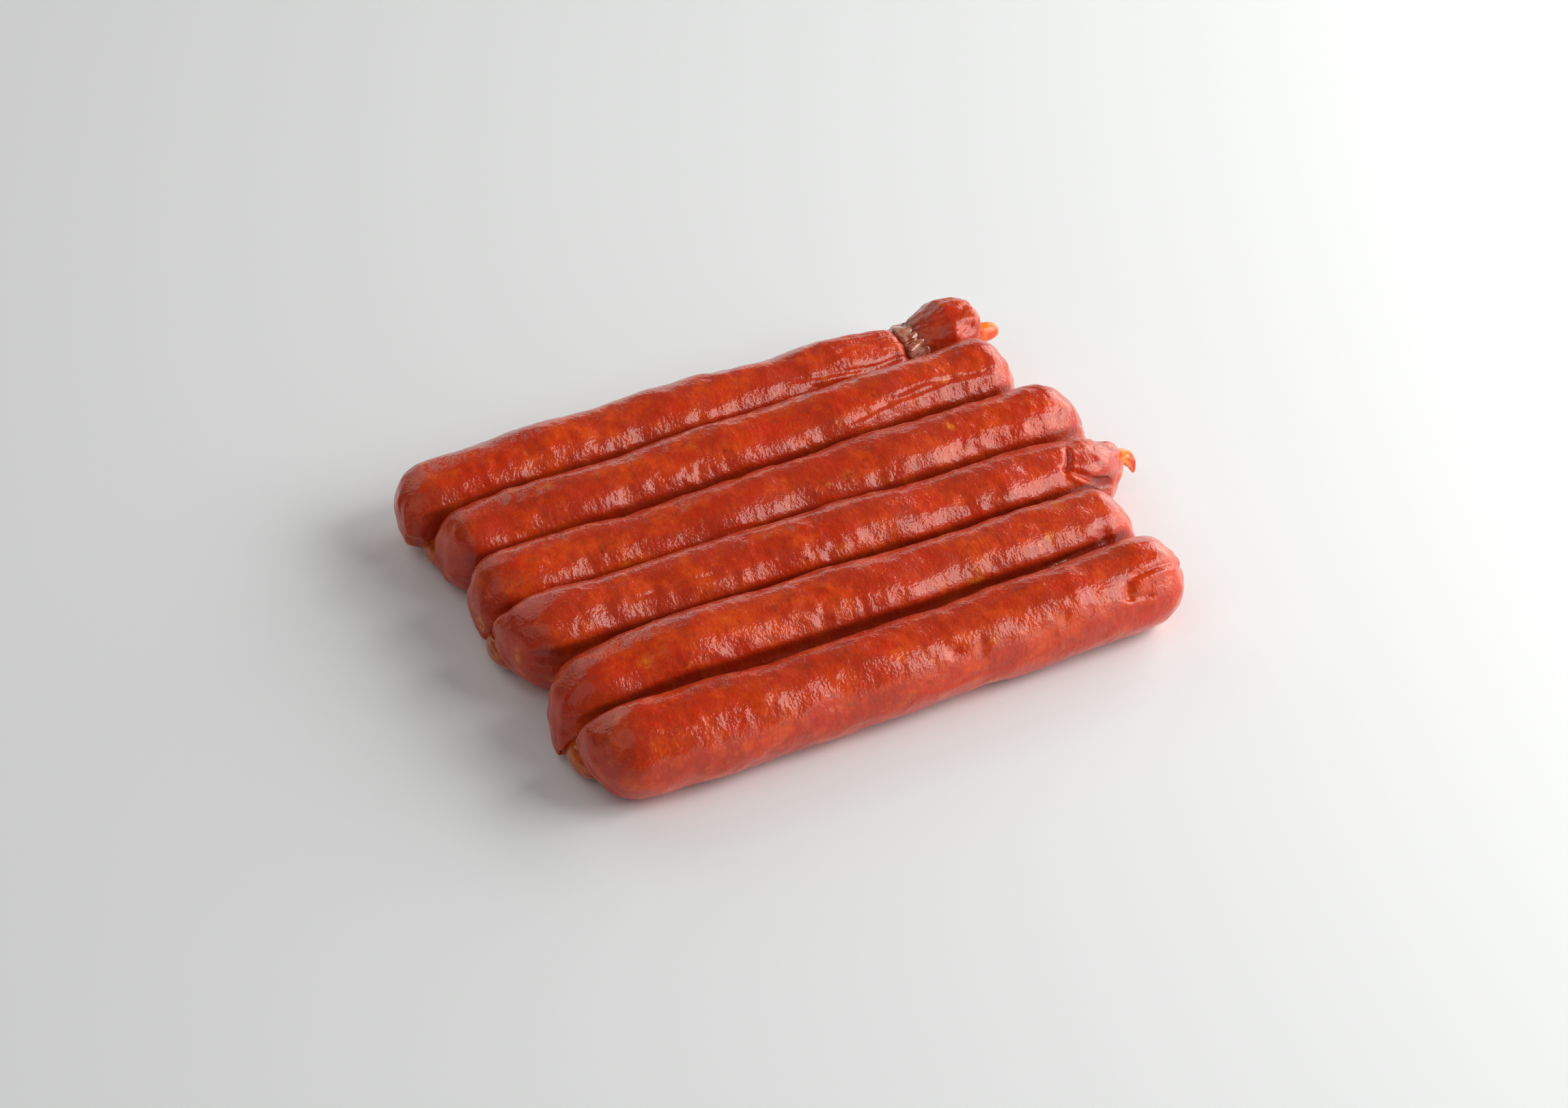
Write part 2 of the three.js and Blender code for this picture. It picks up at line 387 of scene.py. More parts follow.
@dataclass(frozen=True)
class CasingFinish:
    """Glossy smoked casing, close over coarse meat with flecks of fat and pepper.

    brown_from and brown_to are the places along X between which it turns browner, towards one end. end_brownness is
    how brown that end is, and end_gloss how strong its gloss. deep is painted shade: the colour that the crevices
    beside a neighbour are darkened towards.
    """

    name: str = "smoked_casing"
    brown: Colour = (0.42, 0.034, 0.010, 1.0)
    red: Colour = (0.57, 0.028, 0.002, 1.0)
    orange: Colour = (0.74, 0.080, 0.003, 1.0)
    fat: Colour = (0.82, 0.27, 0.02, 1.0)
    pepper: Colour = (0.10, 0.015, 0.008, 1.0)
    dark_brown: Colour = (0.25, 0.035, 0.018, 1.0)
    brown_from: float = -0.070
    brown_to: float = -0.090
    end_brownness: float = 0.2
    end_gloss: float = 0.5
    # Painted shade: the colour that the crevices beside a neighbour are darkened towards.
    deep: Colour = (0.10, 0.005, 0.001, 1.0)

    def meat(self, graph: Graph, along: Socket) -> Socket:
        """The colour of the meat through the casing, before its flecks.

        Args:
            graph: the material's nodes.
            along: the place along X, which says where it turns browner.

        Returns:
            The colour.
        """
        blotches = graph.noise(14 * MM, 3.0, 0.55)
        other = graph.noise(9 * MM, 3.0, 0.6)
        grain = graph.noise(3 * MM, 4.0, 0.65)
        streaks = graph.noise(4 * MM, 3.0, 0.6, (0.4, 1.0, 1.0))
        colour = graph.mix(graph.ramp(blotches, 0.42, 0.62, to=(0.5, 0.0)), self.red, self.brown)
        warm = graph.ramp(graph.plus(other, graph.times(grain, 0.5)), 0.66, 1.0, to=(0.0, 0.8))
        colour = graph.mix(warm, colour, self.orange)
        colour = graph.mix(graph.ramp(streaks, 0.5, 0.68, to=(0.0, 0.4)), colour, self.brown)
        specks = graph.noise(1.8 * MM, 3.0, 0.6)
        colour = graph.mix(graph.ramp(specks, 0.5, 0.7, to=(0.0, 0.35)), colour, self.dark_brown)
        # Browner towards one end of the piece, between two places along X.
        browned = graph.ramp(along, self.brown_from, self.brown_to, to=(0.0, self.end_brownness))
        return graph.mix(browned, colour, self.dark_brown)

    def material(self) -> bpy.types.Material:
        """Builds the material."""
        graph = Graph(bpy.data.materials.new(self.name))
        along = graph.node("ShaderNodeSeparateXYZ", {0: graph.bent(6 * MM, 9 * MM)}).outputs["X"]
        colour = self.meat(graph, along)
        crumbs = graph.flecks(1.8 * MM, 0.25, 0.12, 0.35)
        colour = graph.mix(graph.times(crumbs, 0.1), colour, self.fat)
        lumps = graph.times(graph.flecks(8 * MM, 0.16, 0.02, 0.34), graph.ramp(graph.noise(2 * MM, 3.0), 0.35, 0.6))
        colour = graph.mix(graph.times(lumps, 0.6), colour, self.fat)
        dark = graph.flecks(5 * MM, 0.12, 0.04, 0.09)
        colour = graph.mix(graph.times(dark, 0.6), colour, self.pepper)
        # Painted shade: darkens the colour towards deep where the mesh marks a crevice beside a neighbour.
        crevice = graph.node("ShaderNodeAttribute", attribute_name=PAINTED_SHADE_ATTRIBUTE).outputs["Fac"]
        colour = graph.mix(crevice, colour, self.deep)
        wrinkles = graph.noise(1.4 * MM, 2.0, 0.55, (1.0, 0.55, 0.55))
        grain = graph.noise(0.8 * MM, 1.0, 0.6)
        graph.bump(graph.plus(wrinkles, graph.times(grain, 0.7)), 0.16 * MM)
        graph.set(
            Base_Color=colour,
            Roughness=0.42,
            Specular_IOR_Level=0.15,
            Subsurface_Weight=0.2,
            Subsurface_Radius=(1.0, 0.22, 0.06),
            Subsurface_Scale=1.8 * MM,
            Coat_Weight=graph.ramp(along, self.brown_from, self.brown_to, to=(0.85, self.end_gloss)),
            Coat_Roughness=0.07,
            Coat_IOR=1.45,
        )
        return graph.owner


@dataclass(frozen=True)
class GatheredFinish:
    """Bare casing drawn together, browner than where it is full.

    paleness is how much the pale folds show, from 0 to 1, and gloss the strength of the coat.
    """

    name: str = "gathered_casing"
    dark: Colour = (0.34, 0.038, 0.005, 1.0)
    brown: Colour = (0.52, 0.095, 0.007, 1.0)
    pale: Colour = (0.62, 0.44, 0.28, 1.0)
    paleness: float = 0.0
    gloss: float = 0.3

    def material(self) -> bpy.types.Material:
        """Builds the material."""
        graph = Graph(bpy.data.materials.new(self.name))
        colour = graph.mix(graph.ramp(graph.noise(3 * MM, 3.0), 0.38, 0.58), self.dark, self.brown)
        folds = graph.ramp(graph.noise(2 * MM, 3.0, 0.6), 0.42, 0.56, to=(0.0, self.paleness))
        colour = graph.mix(folds, colour, self.pale)
        graph.bump(graph.noise(1.2 * MM, 1.0), 0.10 * MM)
        graph.set(
            Base_Color=colour,
            Roughness=graph.ramp(graph.noise(1.5 * MM), 0.3, 0.7, to=(0.2, 0.35)),
            Subsurface_Weight=0.3,
            Subsurface_Radius=(1.0, 0.3, 0.15),
            Subsurface_Scale=1.5 * MM,
            Coat_Weight=self.gloss,
            Coat_Roughness=0.08,
        )
        return graph.owner


@dataclass(frozen=True)
class FattyFinish:
    """Casing end soaked with orange fat."""

    orange: Colour = (0.80, 0.075, 0.003, 1.0)
    yellow: Colour = (0.90, 0.26, 0.015, 1.0)

    def material(self) -> bpy.types.Material:
        """Builds the material."""
        graph = Graph(bpy.data.materials.new("fatty_casing"))
        amount = graph.ramp(graph.noise(3.5 * MM, 2.0), 0.35, 0.65)
        graph.bump(graph.noise(0.8 * MM, 2.0), 0.08 * MM)
        graph.set(
            Base_Color=graph.mix(amount, self.orange, self.yellow),
            Roughness=graph.ramp(graph.noise(1.5 * MM), 0.3, 0.7, to=(0.25, 0.4)),
            Subsurface_Weight=0.35,
            Subsurface_Radius=(1.0, 0.4, 0.1),
            Subsurface_Scale=1.5 * MM,
            Coat_Weight=0.5,
            Coat_Roughness=0.1,
        )
        return graph.owner


@dataclass(frozen=True)
class Finishes:
    """The finished materials, made once and shared by the pieces."""

    casing: bpy.types.Material = field(default_factory=CasingFinish().material)
    nub: bpy.types.Material = field(
        default_factory=CasingFinish("dry_casing", brown_from=0.072, brown_to=0.063, end_brownness=0.6, end_gloss=1.0).material
    )
    gathered: bpy.types.Material = field(default_factory=GatheredFinish().material)
    collar: bpy.types.Material = field(
        default_factory=GatheredFinish(
            name="collar_casing",
            dark=(0.34, 0.05, 0.02, 1.0),
            brown=(0.50, 0.13, 0.06, 1.0),
            pale=(0.66, 0.43, 0.34, 1.0),
            paleness=0.55,
            gloss=1.0,
        ).material
    )
    fatty: bpy.types.Material = field(default_factory=FattyFinish().material)


@dataclass(frozen=True)
class Crease:
    """A crease in the casing that runs along a link.

    start and stop are its ends along X, and angle is its place round the link in degrees, 90 on top and 180 in front.
    turn is how many degrees it runs round the link on its way.
    """

    start: float
    stop: float
    angle: float
    turn: float = 0.0
    depth: float = 0.35 * MM
    width: float = 0.7 * MM


@dataclass(frozen=True)
class Dent:
    """A soft dent in a link, or a swelling if its depth is below zero.

    x and angle are its middle, length and breadth its reach along and round the link.
    """

    x: float
    angle: float
    length: float
    breadth: float
    depth: float


@dataclass
class Link:
    """One sausage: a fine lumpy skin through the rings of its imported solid.

    lumps, swells, dimples and wrinkles are the heights of its unevenness, from coarse to fine. fold_depth is the depth
    of the folds round its left and its right pole, and blunt how far those poles are pushed in. tied is the radius that
    its right end narrows to where it is tied, or 0, and point how far the right end is drawn out. pressed holds the
    angle and the depth of the groove beside each neighbour, and waist the place of a fold across its front. radius and
    travel are each ring's mean radius and its way along the skin from the left pole.
    """

    TAPER_FROM = 16 * MM
    TAPER_OVER = 6 * MM
    TAPER_SLOPE = 0.08
    ROUNDING = 3.0 * MM
    ROUNDING_REACH = 2.4 * MM
    BLUNT_REACH = 3.5 * MM
    POINT_REACH = 7 * MM
    PUCKER_PLACE = 6.0 * MM
    PUCKER_REACH = 3.6 * MM
    GROOVE_BREADTH = 10.0
    SMOOTH_BREADTH = 9.0
    PAINTED_SHADE_BREADTH = 12.0
    BESIDE_BREADTH = 30.0

    node: str
    seed: int
    creases: tuple[Crease, ...] = ()
    dents: tuple[Dent, ...] = ()
    waist: float | None = None
    sides: int = 160
    stations: int = 400
    lumps: float = 0.20 * MM
    swells: float = 0.19 * MM
    dimples: float = 0.22 * MM
    wrinkles: float = 0.08 * MM
    folds: int = 11
    fold_depth: tuple[float, float] = (0.08 * MM, 0.35 * MM)
    blunt: tuple[float, float] = (1.2 * MM, 0.5 * MM)
    tied: float = 0.0
    point: float = 0.0
    pressed: tuple[tuple[float, float], ...] = ((20.0, 0.5 * MM), (161.0, 0.5 * MM))
    radius: np.ndarray = field(init=False, repr=False)
    travel: np.ndarray = field(init=False, repr=False)

    def bearings(self) -> np.ndarray:
        """The angles of a ring's points, from +Y towards +Z."""
        return tau * np.arange(self.sides) / self.sides

    def rings(self) -> tuple[np.ndarray, np.ndarray]:
        """Reads the solid's rings.

        Returns:
            Each ring's centre, and the distance of the skin from it at even angles from +Y towards +Z.
        """
        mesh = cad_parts[self.node].data
        flat = np.zeros(len(mesh.vertices) * 3)
        mesh.vertices.foreach_get("co", flat)
        points = np.unique(np.round(flat.reshape(-1, 3), 6), axis=0)
        starts = np.flatnonzero(np.diff(points[:, 0], prepend=-1.0) > 0.02 * MM)
        centres, reaches = [], []
        for group in np.split(points, starts[1:]):
            centre = group.mean(axis=0)
            centres.append(centre)
            if len(group) < 3:
                reaches.append(np.zeros(self.sides))
                continue
            spokes = group[:, 1:] - centre[1:]
            bearing = np.arctan2(spokes[:, 1], spokes[:, 0]) % tau
            order = np.argsort(bearing)
            turns = np.concatenate([bearing[order] - tau, bearing[order], bearing[order] + tau])
            lengths = np.tile(np.linalg.norm(spokes, axis=1)[order], 3)
            reaches.append(hermite(turns, lengths, self.bearings()))
        return np.array(centres), np.array(reaches)

    def skin(self) -> Skin:
        """The smooth skin through the rings, before its relief."""
        centres, reaches = self.rings()
        centres = np.concatenate([[2 * centres[0] - centres[1]], centres, [2 * centres[-1] - centres[-2]]])
        centres[0, 0], centres[-1, 0] = centres[2, 0], centres[-3, 0]
        reaches = np.concatenate([-reaches[1:2], reaches, -reaches[-2:-1]])
        steps = np.hypot(np.diff(centres[:, 0]), np.diff(reaches.mean(axis=1)))
        knots = np.concatenate([[0.0], np.cumsum(steps)])
        places = np.linspace(knots[1], knots[-2], self.stations + 2)
        centre = hermite(knots, centres, places)[:, None, :]
        reach = hermite(knots, reaches, places)
        if self.tied:
            away = centre[-1, 0, 0] - centre[..., 0]
            near = np.clip((self.TAPER_FROM - away) / self.TAPER_OVER, 0, 1)
            taper = self.tied + self.TAPER_SLOPE * away - self.ROUNDING * bell(away, self.ROUNDING_REACH)
            reach[:-1] = (reach + near * (taper - reach))[:-1]
        angles = self.bearings()
        spokes = np.stack([np.zeros(self.sides), np.cos(angles), np.sin(angles)], axis=-1)
        points = centre + reach[..., None] * spokes
        from_left, from_right = places - places[0], places[-1] - places
        self.radius = reach[1:-1].mean(axis=1)
        self.travel = from_left[1:-1]
        left, right = (depth * bell(run, self.BLUNT_REACH) for depth, run in zip(self.blunt, (from_left, from_right)))
        drawn = self.point * bell(from_right, self.POINT_REACH)
        points[..., 0] += (left - right + drawn)[:, None]
        return Skin(points[1:-1], points[0, 0], points[-1, 0])

    def lumpiness(self, points: np.ndarray) -> np.ndarray:
        """Height of the uneven meat and of the casing's small wrinkles across the link."""
        noise = LatticeNoise(self.seed)
        coarse = noise.at(points * np.array([0.7, 1.0, 1.0]), 14 * MM)
        swells = noise.at(points + 0.4, 7.5 * MM)
        middle = noise.at(points, 4.0 * MM)
        small = noise.at(points + 0.2, 2.3 * MM)
        across = noise.at(points * np.array([1.0, 0.35, 0.35]), 1.7 * MM)
        patches = np.clip(0.7 + 1.1 * noise.at(points + 0.3, 10 * MM), 0.1, 1.6)
        uneven = self.lumps * (coarse - 0.25) + self.swells * (swells - 0.1)
        uneven = uneven + self.dimples * (middle - 0.1 + 0.6 * patches * small)
        pressed_smooth = 1.0 - 0.75 * self.nearness(self.SMOOTH_BREADTH) * self.fullness()
        rougher_ends = 1.7 - 0.7 * self.fullness()
        return (uneven + self.wrinkles * patches * across) * pressed_smooth * rougher_ends

    def nearness(self, breadth: float, weighed: bool = False) -> np.ndarray:
        """How close each place round the link is to a neighbour.

        Args:
            breadth: how far the neighbour's influence reaches, in degrees.
            weighed: whether the shares are multiplied by the depths of the grooves.

        Returns:
            A row of shares from 0 to 1, or of depths.
        """
        bearing = np.degrees(self.bearings())
        shares = [
            bell((bearing - angle + 180) % 360 - 180, breadth) * (depth if weighed else 1.0)
            for angle, depth in self.pressed
        ]
        return np.max([0 * bearing, *shares], axis=0)[None, :]

    def pressing(self, points: np.ndarray) -> np.ndarray:
        """Height of the smooth grooves along the neighbours, which leave a dark crevice between the links."""
        return -self.nearness(self.GROOVE_BREADTH, weighed=True) * self.fullness()

    def fullness(self) -> np.ndarray:
        """A column that is 1 along the link and falls to 0 in the round ends."""
        return np.clip((self.radius / np.median(self.radius) - 0.7) / 0.25, 0, 1)[:, None]

    def crevice(self) -> np.ndarray:
        """Painted shade of the crevices beside the neighbours at each point: how much the colour darkens, from 0 to 1.
        """
        near = np.clip((self.nearness(self.PAINTED_SHADE_BREADTH) - 0.12) / 0.5, 0, 1)
        depth = self.nearness(self.BESIDE_BREADTH, weighed=True)
        strength = np.clip(0.32 + depth / (3.0 * MM), 0, 0.8)
        return eased(near) * strength * self.fullness()

    def puckers(self, points: np.ndarray) -> np.ndarray:
        """Height of the uneven folds that run into both poles of the skin."""
        noise = LatticeNoise(self.seed + 100)
        bearing = self.bearings()
        total = np.zeros(points.shape[:2])
        backwards = self.travel[-1] + self.travel[0] - self.travel
        for reached, depth in zip((self.travel, backwards), self.fold_depth):
            window = bell(reached - self.PUCKER_PLACE, self.PUCKER_REACH)[:, None]
            warp = 2.2 * noise.at(points, 8 * MM)
            uneven = np.clip(0.5 + 1.3 * noise.at(points + 0.1, 7 * MM), 0.0, 1.2)
            sharp = np.abs(np.cos(0.5 * self.folds * bearing[None, :] + warp)) ** 5
            total -= window * depth * uneven * sharp
        return total

    def creasing(self, points: np.ndarray) -> np.ndarray:
        """Height of the creases along the skin."""
        noise = LatticeNoise(self.seed + 200)
        bearing = self.bearings()
        x = points[:, 0, 0]
        total = np.zeros(points.shape[:2])
        for number, crease in enumerate(self.creases):
            share = (x - crease.start) / (crease.stop - crease.start)
            wander = noise.at(np.stack([x, x * 0 + number * 0.05, x * 0], axis=-1), 12 * MM)
            line = radians(crease.angle) + radians(crease.turn) * share + 0.12 * wander
            away = wrapped(bearing[None, :] - line[:, None]) * self.radius[:, None]
            fade = np.clip(4 * share, 0, 1) * np.clip(4 * (1 - share), 0, 1)
            groove = -bell(away, crease.width)
            lip = 0.55 * bell(away - 1.7 * crease.width, 1.3 * crease.width)
            total += crease.depth * (groove + lip) * eased(fade)[:, None]
        return total

    def waisting(self, points: np.ndarray) -> np.ndarray:
        """Height of the fold that a tight turn of casing presses into the front, where the link has one."""
        if self.waist is None:
            return np.zeros(points.shape[:2])
        depth, wander, slant = 0.8 * MM, 0.8 * MM, 5.1 * MM
        noise = LatticeNoise(self.seed + 300)
        bearing = self.bearings()
        place = self.waist + wander * noise.at(points, 5 * MM) + slant * np.cos(bearing)[None, :]
        away = (points[..., 0] - place) / MM
        front = np.clip((np.degrees(bearing) - 86) / 16, 0, 1) * np.clip((136 - np.degrees(bearing)) / 12, 0, 1)
        groove = 0.35 * bell(away - 1.9, 1.1) - bell(away, 0.8)
        return groove * front[None, :] * depth

    def denting(self, points: np.ndarray) -> np.ndarray:
        """Height of the dents and swellings."""
        bearing = self.bearings()
        total = np.zeros(points.shape[:2])
        for dent in self.dents:
            around = wrapped(bearing[None, :] - radians(dent.angle)) * self.radius[:, None] / dent.breadth
            along = (points[:, :1, 0] - dent.x) / dent.length
            total -= dent.depth * np.exp(-(along**2) - around**2)
        return total

    def build(self, finishes: Finishes) -> bpy.types.Object:
        """Makes the link, with all its relief."""
        skin = self.skin()
        rest = skin.points.copy()
        for relief in (self.pressing, self.lumpiness, self.puckers, self.creasing, self.waisting, self.denting):
            skin.swell(relief(rest))
        skin.rest_on_table()
        # Painted shade for the crevices beside the neighbours, which darkens the colour there.
        skin.shade = self.crevice()
        return skin.piece(f"{self.node}_skin", finishes.casing, [self.node], Slot.CASING)


def tube(
    centre: Callable[[np.ndarray], np.ndarray],
    radius: Callable[[np.ndarray, np.ndarray], np.ndarray],
    rings: int,
    sides: int,
) -> Skin:
    """Closed tube along a line, with rounded or open-looking ends as its radius says.

    Args:
        centre: gives the line's points for shares from 0 to 1.
        radius: gives the radius for shares and turns, as arrays of one column and one row.
        rings: the number of rings.
        sides: the number of points on a ring.

    Returns:
        The tube as a skin.
    """
    shares = np.linspace(0.0, 1.0, rings + 2)
    line = centre(shares)
    tangent = np.gradient(line, shares, axis=0)
    tangent /= np.linalg.norm(tangent, axis=1, keepdims=True)
    across = np.cross(np.array([0.0, 0.0, 1.0]), tangent)
    across /= np.linalg.norm(across, axis=1, keepdims=True)
    rise = np.cross(tangent, across)
    turns = tau * np.arange(sides)[None, :] / sides
    reach = radius(shares[1:-1, None], turns)[..., None]
    ring = np.cos(turns)[..., None] * across[1:-1, None, :] + np.sin(turns)[..., None] * rise[1:-1, None, :]
    return Skin(line[1:-1, None, :] + reach * ring, line[0], line[-1])


def spread(shares: np.ndarray, turns: np.ndarray, along: float, around: float) -> np.ndarray:
    """Places on a tube for noise that meets itself all the way round.

    Args:
        shares: shares of the tube's length, as a column.
        turns: angles round it, as a row.
        along: how far the places spread along the tube.
        around: the radius that they have round it.

    Returns:
        The places, with x, y and z along the last axis.
    """
    still = 0 * (shares + turns)
    return np.stack([along * shares + still, around * np.cos(turns) + still, around * np.sin(turns) + still], axis=-1)


@dataclass
class Twist:
    """Twisted casing between two links, running into both of them.

    thickness is its radius in the middle and flare at its ends, sink how far it runs into the links, strands the number
    of its folds and depth how deep they are as a share of the radius. inward moves it towards the middle of the links,
    and bow bends its ends that way.
    """

    node: str
    seed: int
    thickness: float = 1.5 * MM
    flare: float = 2.6 * MM
    sink: float = 1.6 * MM
    strands: int = 4
    turns: float = 0.9
    depth: float = 0.3
    inward: float = 0.0
    bow: float = 0.0

    def build(self, finishes: Finishes) -> bpy.types.Object:
        """Makes the twist in its node's place."""
        low, high = corners(self.node)
        middle = (low + high) / 2
        x, z = middle[0] - self.inward * np.sign(middle[0]), max(middle[2], self.thickness)
        start = np.array([x, high[1] + self.sink, z])
        stop = np.array([x, low[1] - self.sink, z])
        noise = LatticeNoise(self.seed)

        def centre(shares: np.ndarray) -> np.ndarray:
            """The twist's line."""
            bend = np.array([-self.bow * np.sign(middle[0]), 0.0, 0.0])
            return start + shares[:, None] * (stop - start) + (2 * shares[:, None] - 1) ** 2 * bend

        def radius(shares: np.ndarray, turns: np.ndarray) -> np.ndarray:
            """The twist's radius, with its folds."""
            outward = np.abs(2 * shares - 1)
            body = self.thickness + (self.flare - self.thickness) * outward**2.2
            body = body * np.sqrt(np.clip(1 - outward**30, 0, 1))
            fold = np.abs(np.cos(0.5 * self.strands * turns - self.turns * pi * shares)) ** 0.7
            return body * (1 + self.depth * (fold - 0.8) + 0.06 * noise.at(spread(shares, turns, 1.0, 1.0), 0.35))

        skin = tube(centre, radius, rings=60, sides=96)
        skin.rest_on_table()
        return skin.piece(f"{self.node}_rope", finishes.gathered, [self.node], Slot.GATHERED)


def neck(node: str, seed: int, inward: float) -> Twist:
    """One of the thick, almost smooth necks that show at the string's left end.

    Args:
        node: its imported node.
        seed: the seed of its unevenness.
        inward: how far it lies towards the middle of the links from its node.

    Returns:
        The neck.
    """
    size = {"thickness": 3.6 * MM, "flare": 2.0 * MM, "sink": 4.5 * MM, "bow": 3.0 * MM}
    return Twist(node, seed, strands=5, turns=0.15, depth=0.05, inward=inward, **size)


@dataclass
class TiedEnd:
    """The rear link's tied end: the collar of gathered casing, the nub of meat beyond it and the bead on its tip.

    collar_reach is how far the collar runs into the link and the nub, and pleats and pleat_depth are its folds. tilt
    leans the nub's end, shorter is how much less than its node it reaches, and stem is how far the bead reaches back,
    into the nub.
    """

    seed: int = 31
    collar_reach: tuple[float, float] = (1.6 * MM, 3.0 * MM)
    pleats: int = 8
    pleat_depth: float = 1.0 * MM
    tilt: float = -0.22
    shorter: float = 1.4 * MM
    bead_radius: float = 2.7 * MM
    stem: float = 3.2 * MM

    def collar(self, finishes: Finishes) -> bpy.types.Object:
        """Makes the crumpled collar, which reaches a little into the link and the nub."""
        low, high = corners("nub_collar")
        middle = (low + high) / 2
        start = np.array([low[0] - self.collar_reach[0], middle[1], middle[2] - 0.3 * MM])
        stop = np.array([high[0] + self.collar_reach[1], middle[1], middle[2] + 0.6 * MM])
        size = (high[1] - low[1]) / 2
        noise = LatticeNoise(self.seed)

        def centre(shares: np.ndarray) -> np.ndarray:
            """The collar's axis."""
            return start + shares[:, None] * (stop - start)

        def radius(shares: np.ndarray, turns: np.ndarray) -> np.ndarray:
            """The collar's pleated radius."""
            outward = np.abs(2 * shares - 1)
            body = size * (0.88 - 0.06 * shares) * np.sqrt(np.clip(1 - outward**14, 0, 1))
            place = spread(shares, turns, 1.0, 2.2)
            warp = noise.at(place, 1.0)
            pleats = np.abs(np.cos(self.pleats * turns + 3.4 * warp + 2 * shares)) ** 0.8
            crumples = 0.45 * noise.at(place, 0.6) + 0.2 * noise.at(place, 0.3)
            return body + self.pleat_depth * (pleats - 0.6) + MM * crumples

        skin = tube(centre, radius, rings=60, sides=240)
        return skin.piece("nub_collar_folds", finishes.collar, ["nub_collar"], Slot.GATHERED)

    def nub(self, finishes: Finishes) -> bpy.types.Object:
        """Makes the nub, blunt at both ends and folded where it leaves the collar."""
        low, high = corners("end_nub")
        size = (high[1] - low[1]) / 2
        side = (low[1] + high[1]) / 2
        rise = (high[2] - low[2]) - 2 * size
        low = low + np.array([-0.8, 0.0, 0.5]) * MM
        noise = LatticeNoise(self.seed + 1)
        length = high[0] - low[0] - abs(self.tilt) * size / 2 - self.shorter

        def centre(shares: np.ndarray) -> np.ndarray:
            """The nub's axis, crowded towards its two ends."""
            reached = crowded(shares)
            x = low[0] + length * reached
            z = low[2] + size + rise * reached
            return np.stack([x, side + 0 * x, z], axis=-1)

        def radius(shares: np.ndarray, turns: np.ndarray) -> np.ndarray:
            """The nub's radius, with its lumps and the folds that fan from the collar."""
            reached = crowded(shares)
            taper = 0.68 + 0.42 * np.clip(reached / 0.5, 0, 1) ** 0.8 - 0.10 * np.clip((reached - 0.55) / 0.4, 0, 1)
            body = 0.99 * taper * size * np.sqrt(np.clip((1 - (1 - shares) ** 16) * (1 - shares**8), 0, 1))
            place = spread(shares, turns, 1.6, 1.0)
            warp = noise.at(place, 0.7)
            near = bell(reached, 0.5)
            pleats = -np.abs(np.cos(5 * turns + 3.0 * warp + 1.2 * shares)) ** 4
            pleats = pleats * np.clip(0.5 + 1.2 * noise.at(place + 0.4, 0.6), 0.1, 1.3)
            lumps = 0.7 * (noise.at(place, 0.5) - 0.3) + 0.45 * noise.at(place, 0.25) + 0.2 * noise.at(place, 0.12)
            return body + (body / size) * MM * (lumps + 0.9 * near * pleats)

        rings = 150
        skin = tube(centre, radius, rings, sides=160)
        lean = crowded(np.linspace(0, 1, rings + 2)[1:-1])
        skin.points[..., 0] -= self.tilt * (skin.points[..., 2] - (low[2] + size)) * lean[:, None]
        return skin.piece("end_nub_skin", finishes.nub, ["end_nub"], Slot.CASING)

    def bead(self, finishes: Finishes) -> bpy.types.Object:
        """Makes the bead on the nub's tip."""
        low, high = corners("casing_knot")
        middle = (low + high) / 2 + np.array([-0.7 * MM - self.stem / 2, 0.0, 0.6 * MM])
        reach = np.array([1.15 * self.bead_radius + self.stem / 2, 0.0, 0.0])
        noise = LatticeNoise(self.seed + 2)

        def centre(shares: np.ndarray) -> np.ndarray:
            """The bead's axis, crowded towards its two ends."""
            return middle - np.cos(pi * shares)[:, None] * reach

        def radius(shares: np.ndarray, turns: np.ndarray) -> np.ndarray:
            """The bead's round radius, a little lumpy."""
            body = self.bead_radius * np.sin(pi * shares) ** 0.6
            return body * (1 + 0.07 * noise.at(spread(shares, turns, 1.0, 1.0), 0.6))

        skin = tube(centre, radius, rings=40, sides=64)
        return skin.piece("casing_knot_bead", finishes.fatty, ["casing_knot"], Slot.FATTY)

    def build(self, finishes: Finishes) -> None:
        """Makes all three pieces."""
        self.collar(finishes)
        self.nub(finishes)
        self.bead(finishes)


@dataclass
class LooseTail:
    """The shred of casing that hangs from the fourth link's right end."""

    seed: int = 41
    size: float = 1.9 * MM

    def build(self, finishes: Finishes) -> bpy.types.Object:
        """Makes the tail along its node, out of the link and down to its ragged tip."""
        low, high = corners("casing_tail")
        noise = LatticeNoise(self.seed)
        middle = (low[1] + high[1]) / 2
        start = np.array([low[0] - 1.0 * MM, middle, high[2] - 2.5 * MM])
        knee = np.array([high[0] - 0.4 * MM, middle - 0.2 * MM, high[2] - 1.4 * MM])
        stop = np.array([high[0] - 0.2 * MM, middle - 0.8 * MM, low[2] - 1.6 * MM])

        def centre(shares: np.ndarray) -> np.ndarray:
            """The tail's bent line."""
            t = shares[:, None]
            return (1 - t) ** 2 * start + 2 * t * (1 - t) * knee + t**2 * stop

        def radius(shares: np.ndarray, turns: np.ndarray) -> np.ndarray:
            """The tail's radius, wide and folded at the link and thin at its tip."""
            body = self.size * (1.15 - 0.95 * shares**2) * np.sqrt(np.clip(1 - np.abs(2 * shares - 1) ** 16, 0, 1))
            folds = 0.25 * np.abs(np.cos(2.5 * turns + 3 * shares)) ** 3
            ragged = 0.25 * noise.at(spread(shares, turns, 3.0, 1.0), 0.5)
            return body * (1 - 0.3 * np.cos(2 * turns + 0.6)) * (1 + ragged - folds)

        skin = tube(centre, radius, rings=80, sides=72)
        return skin.piece("casing_tail_shred", finishes.fatty, ["casing_tail"], Slot.FATTY)


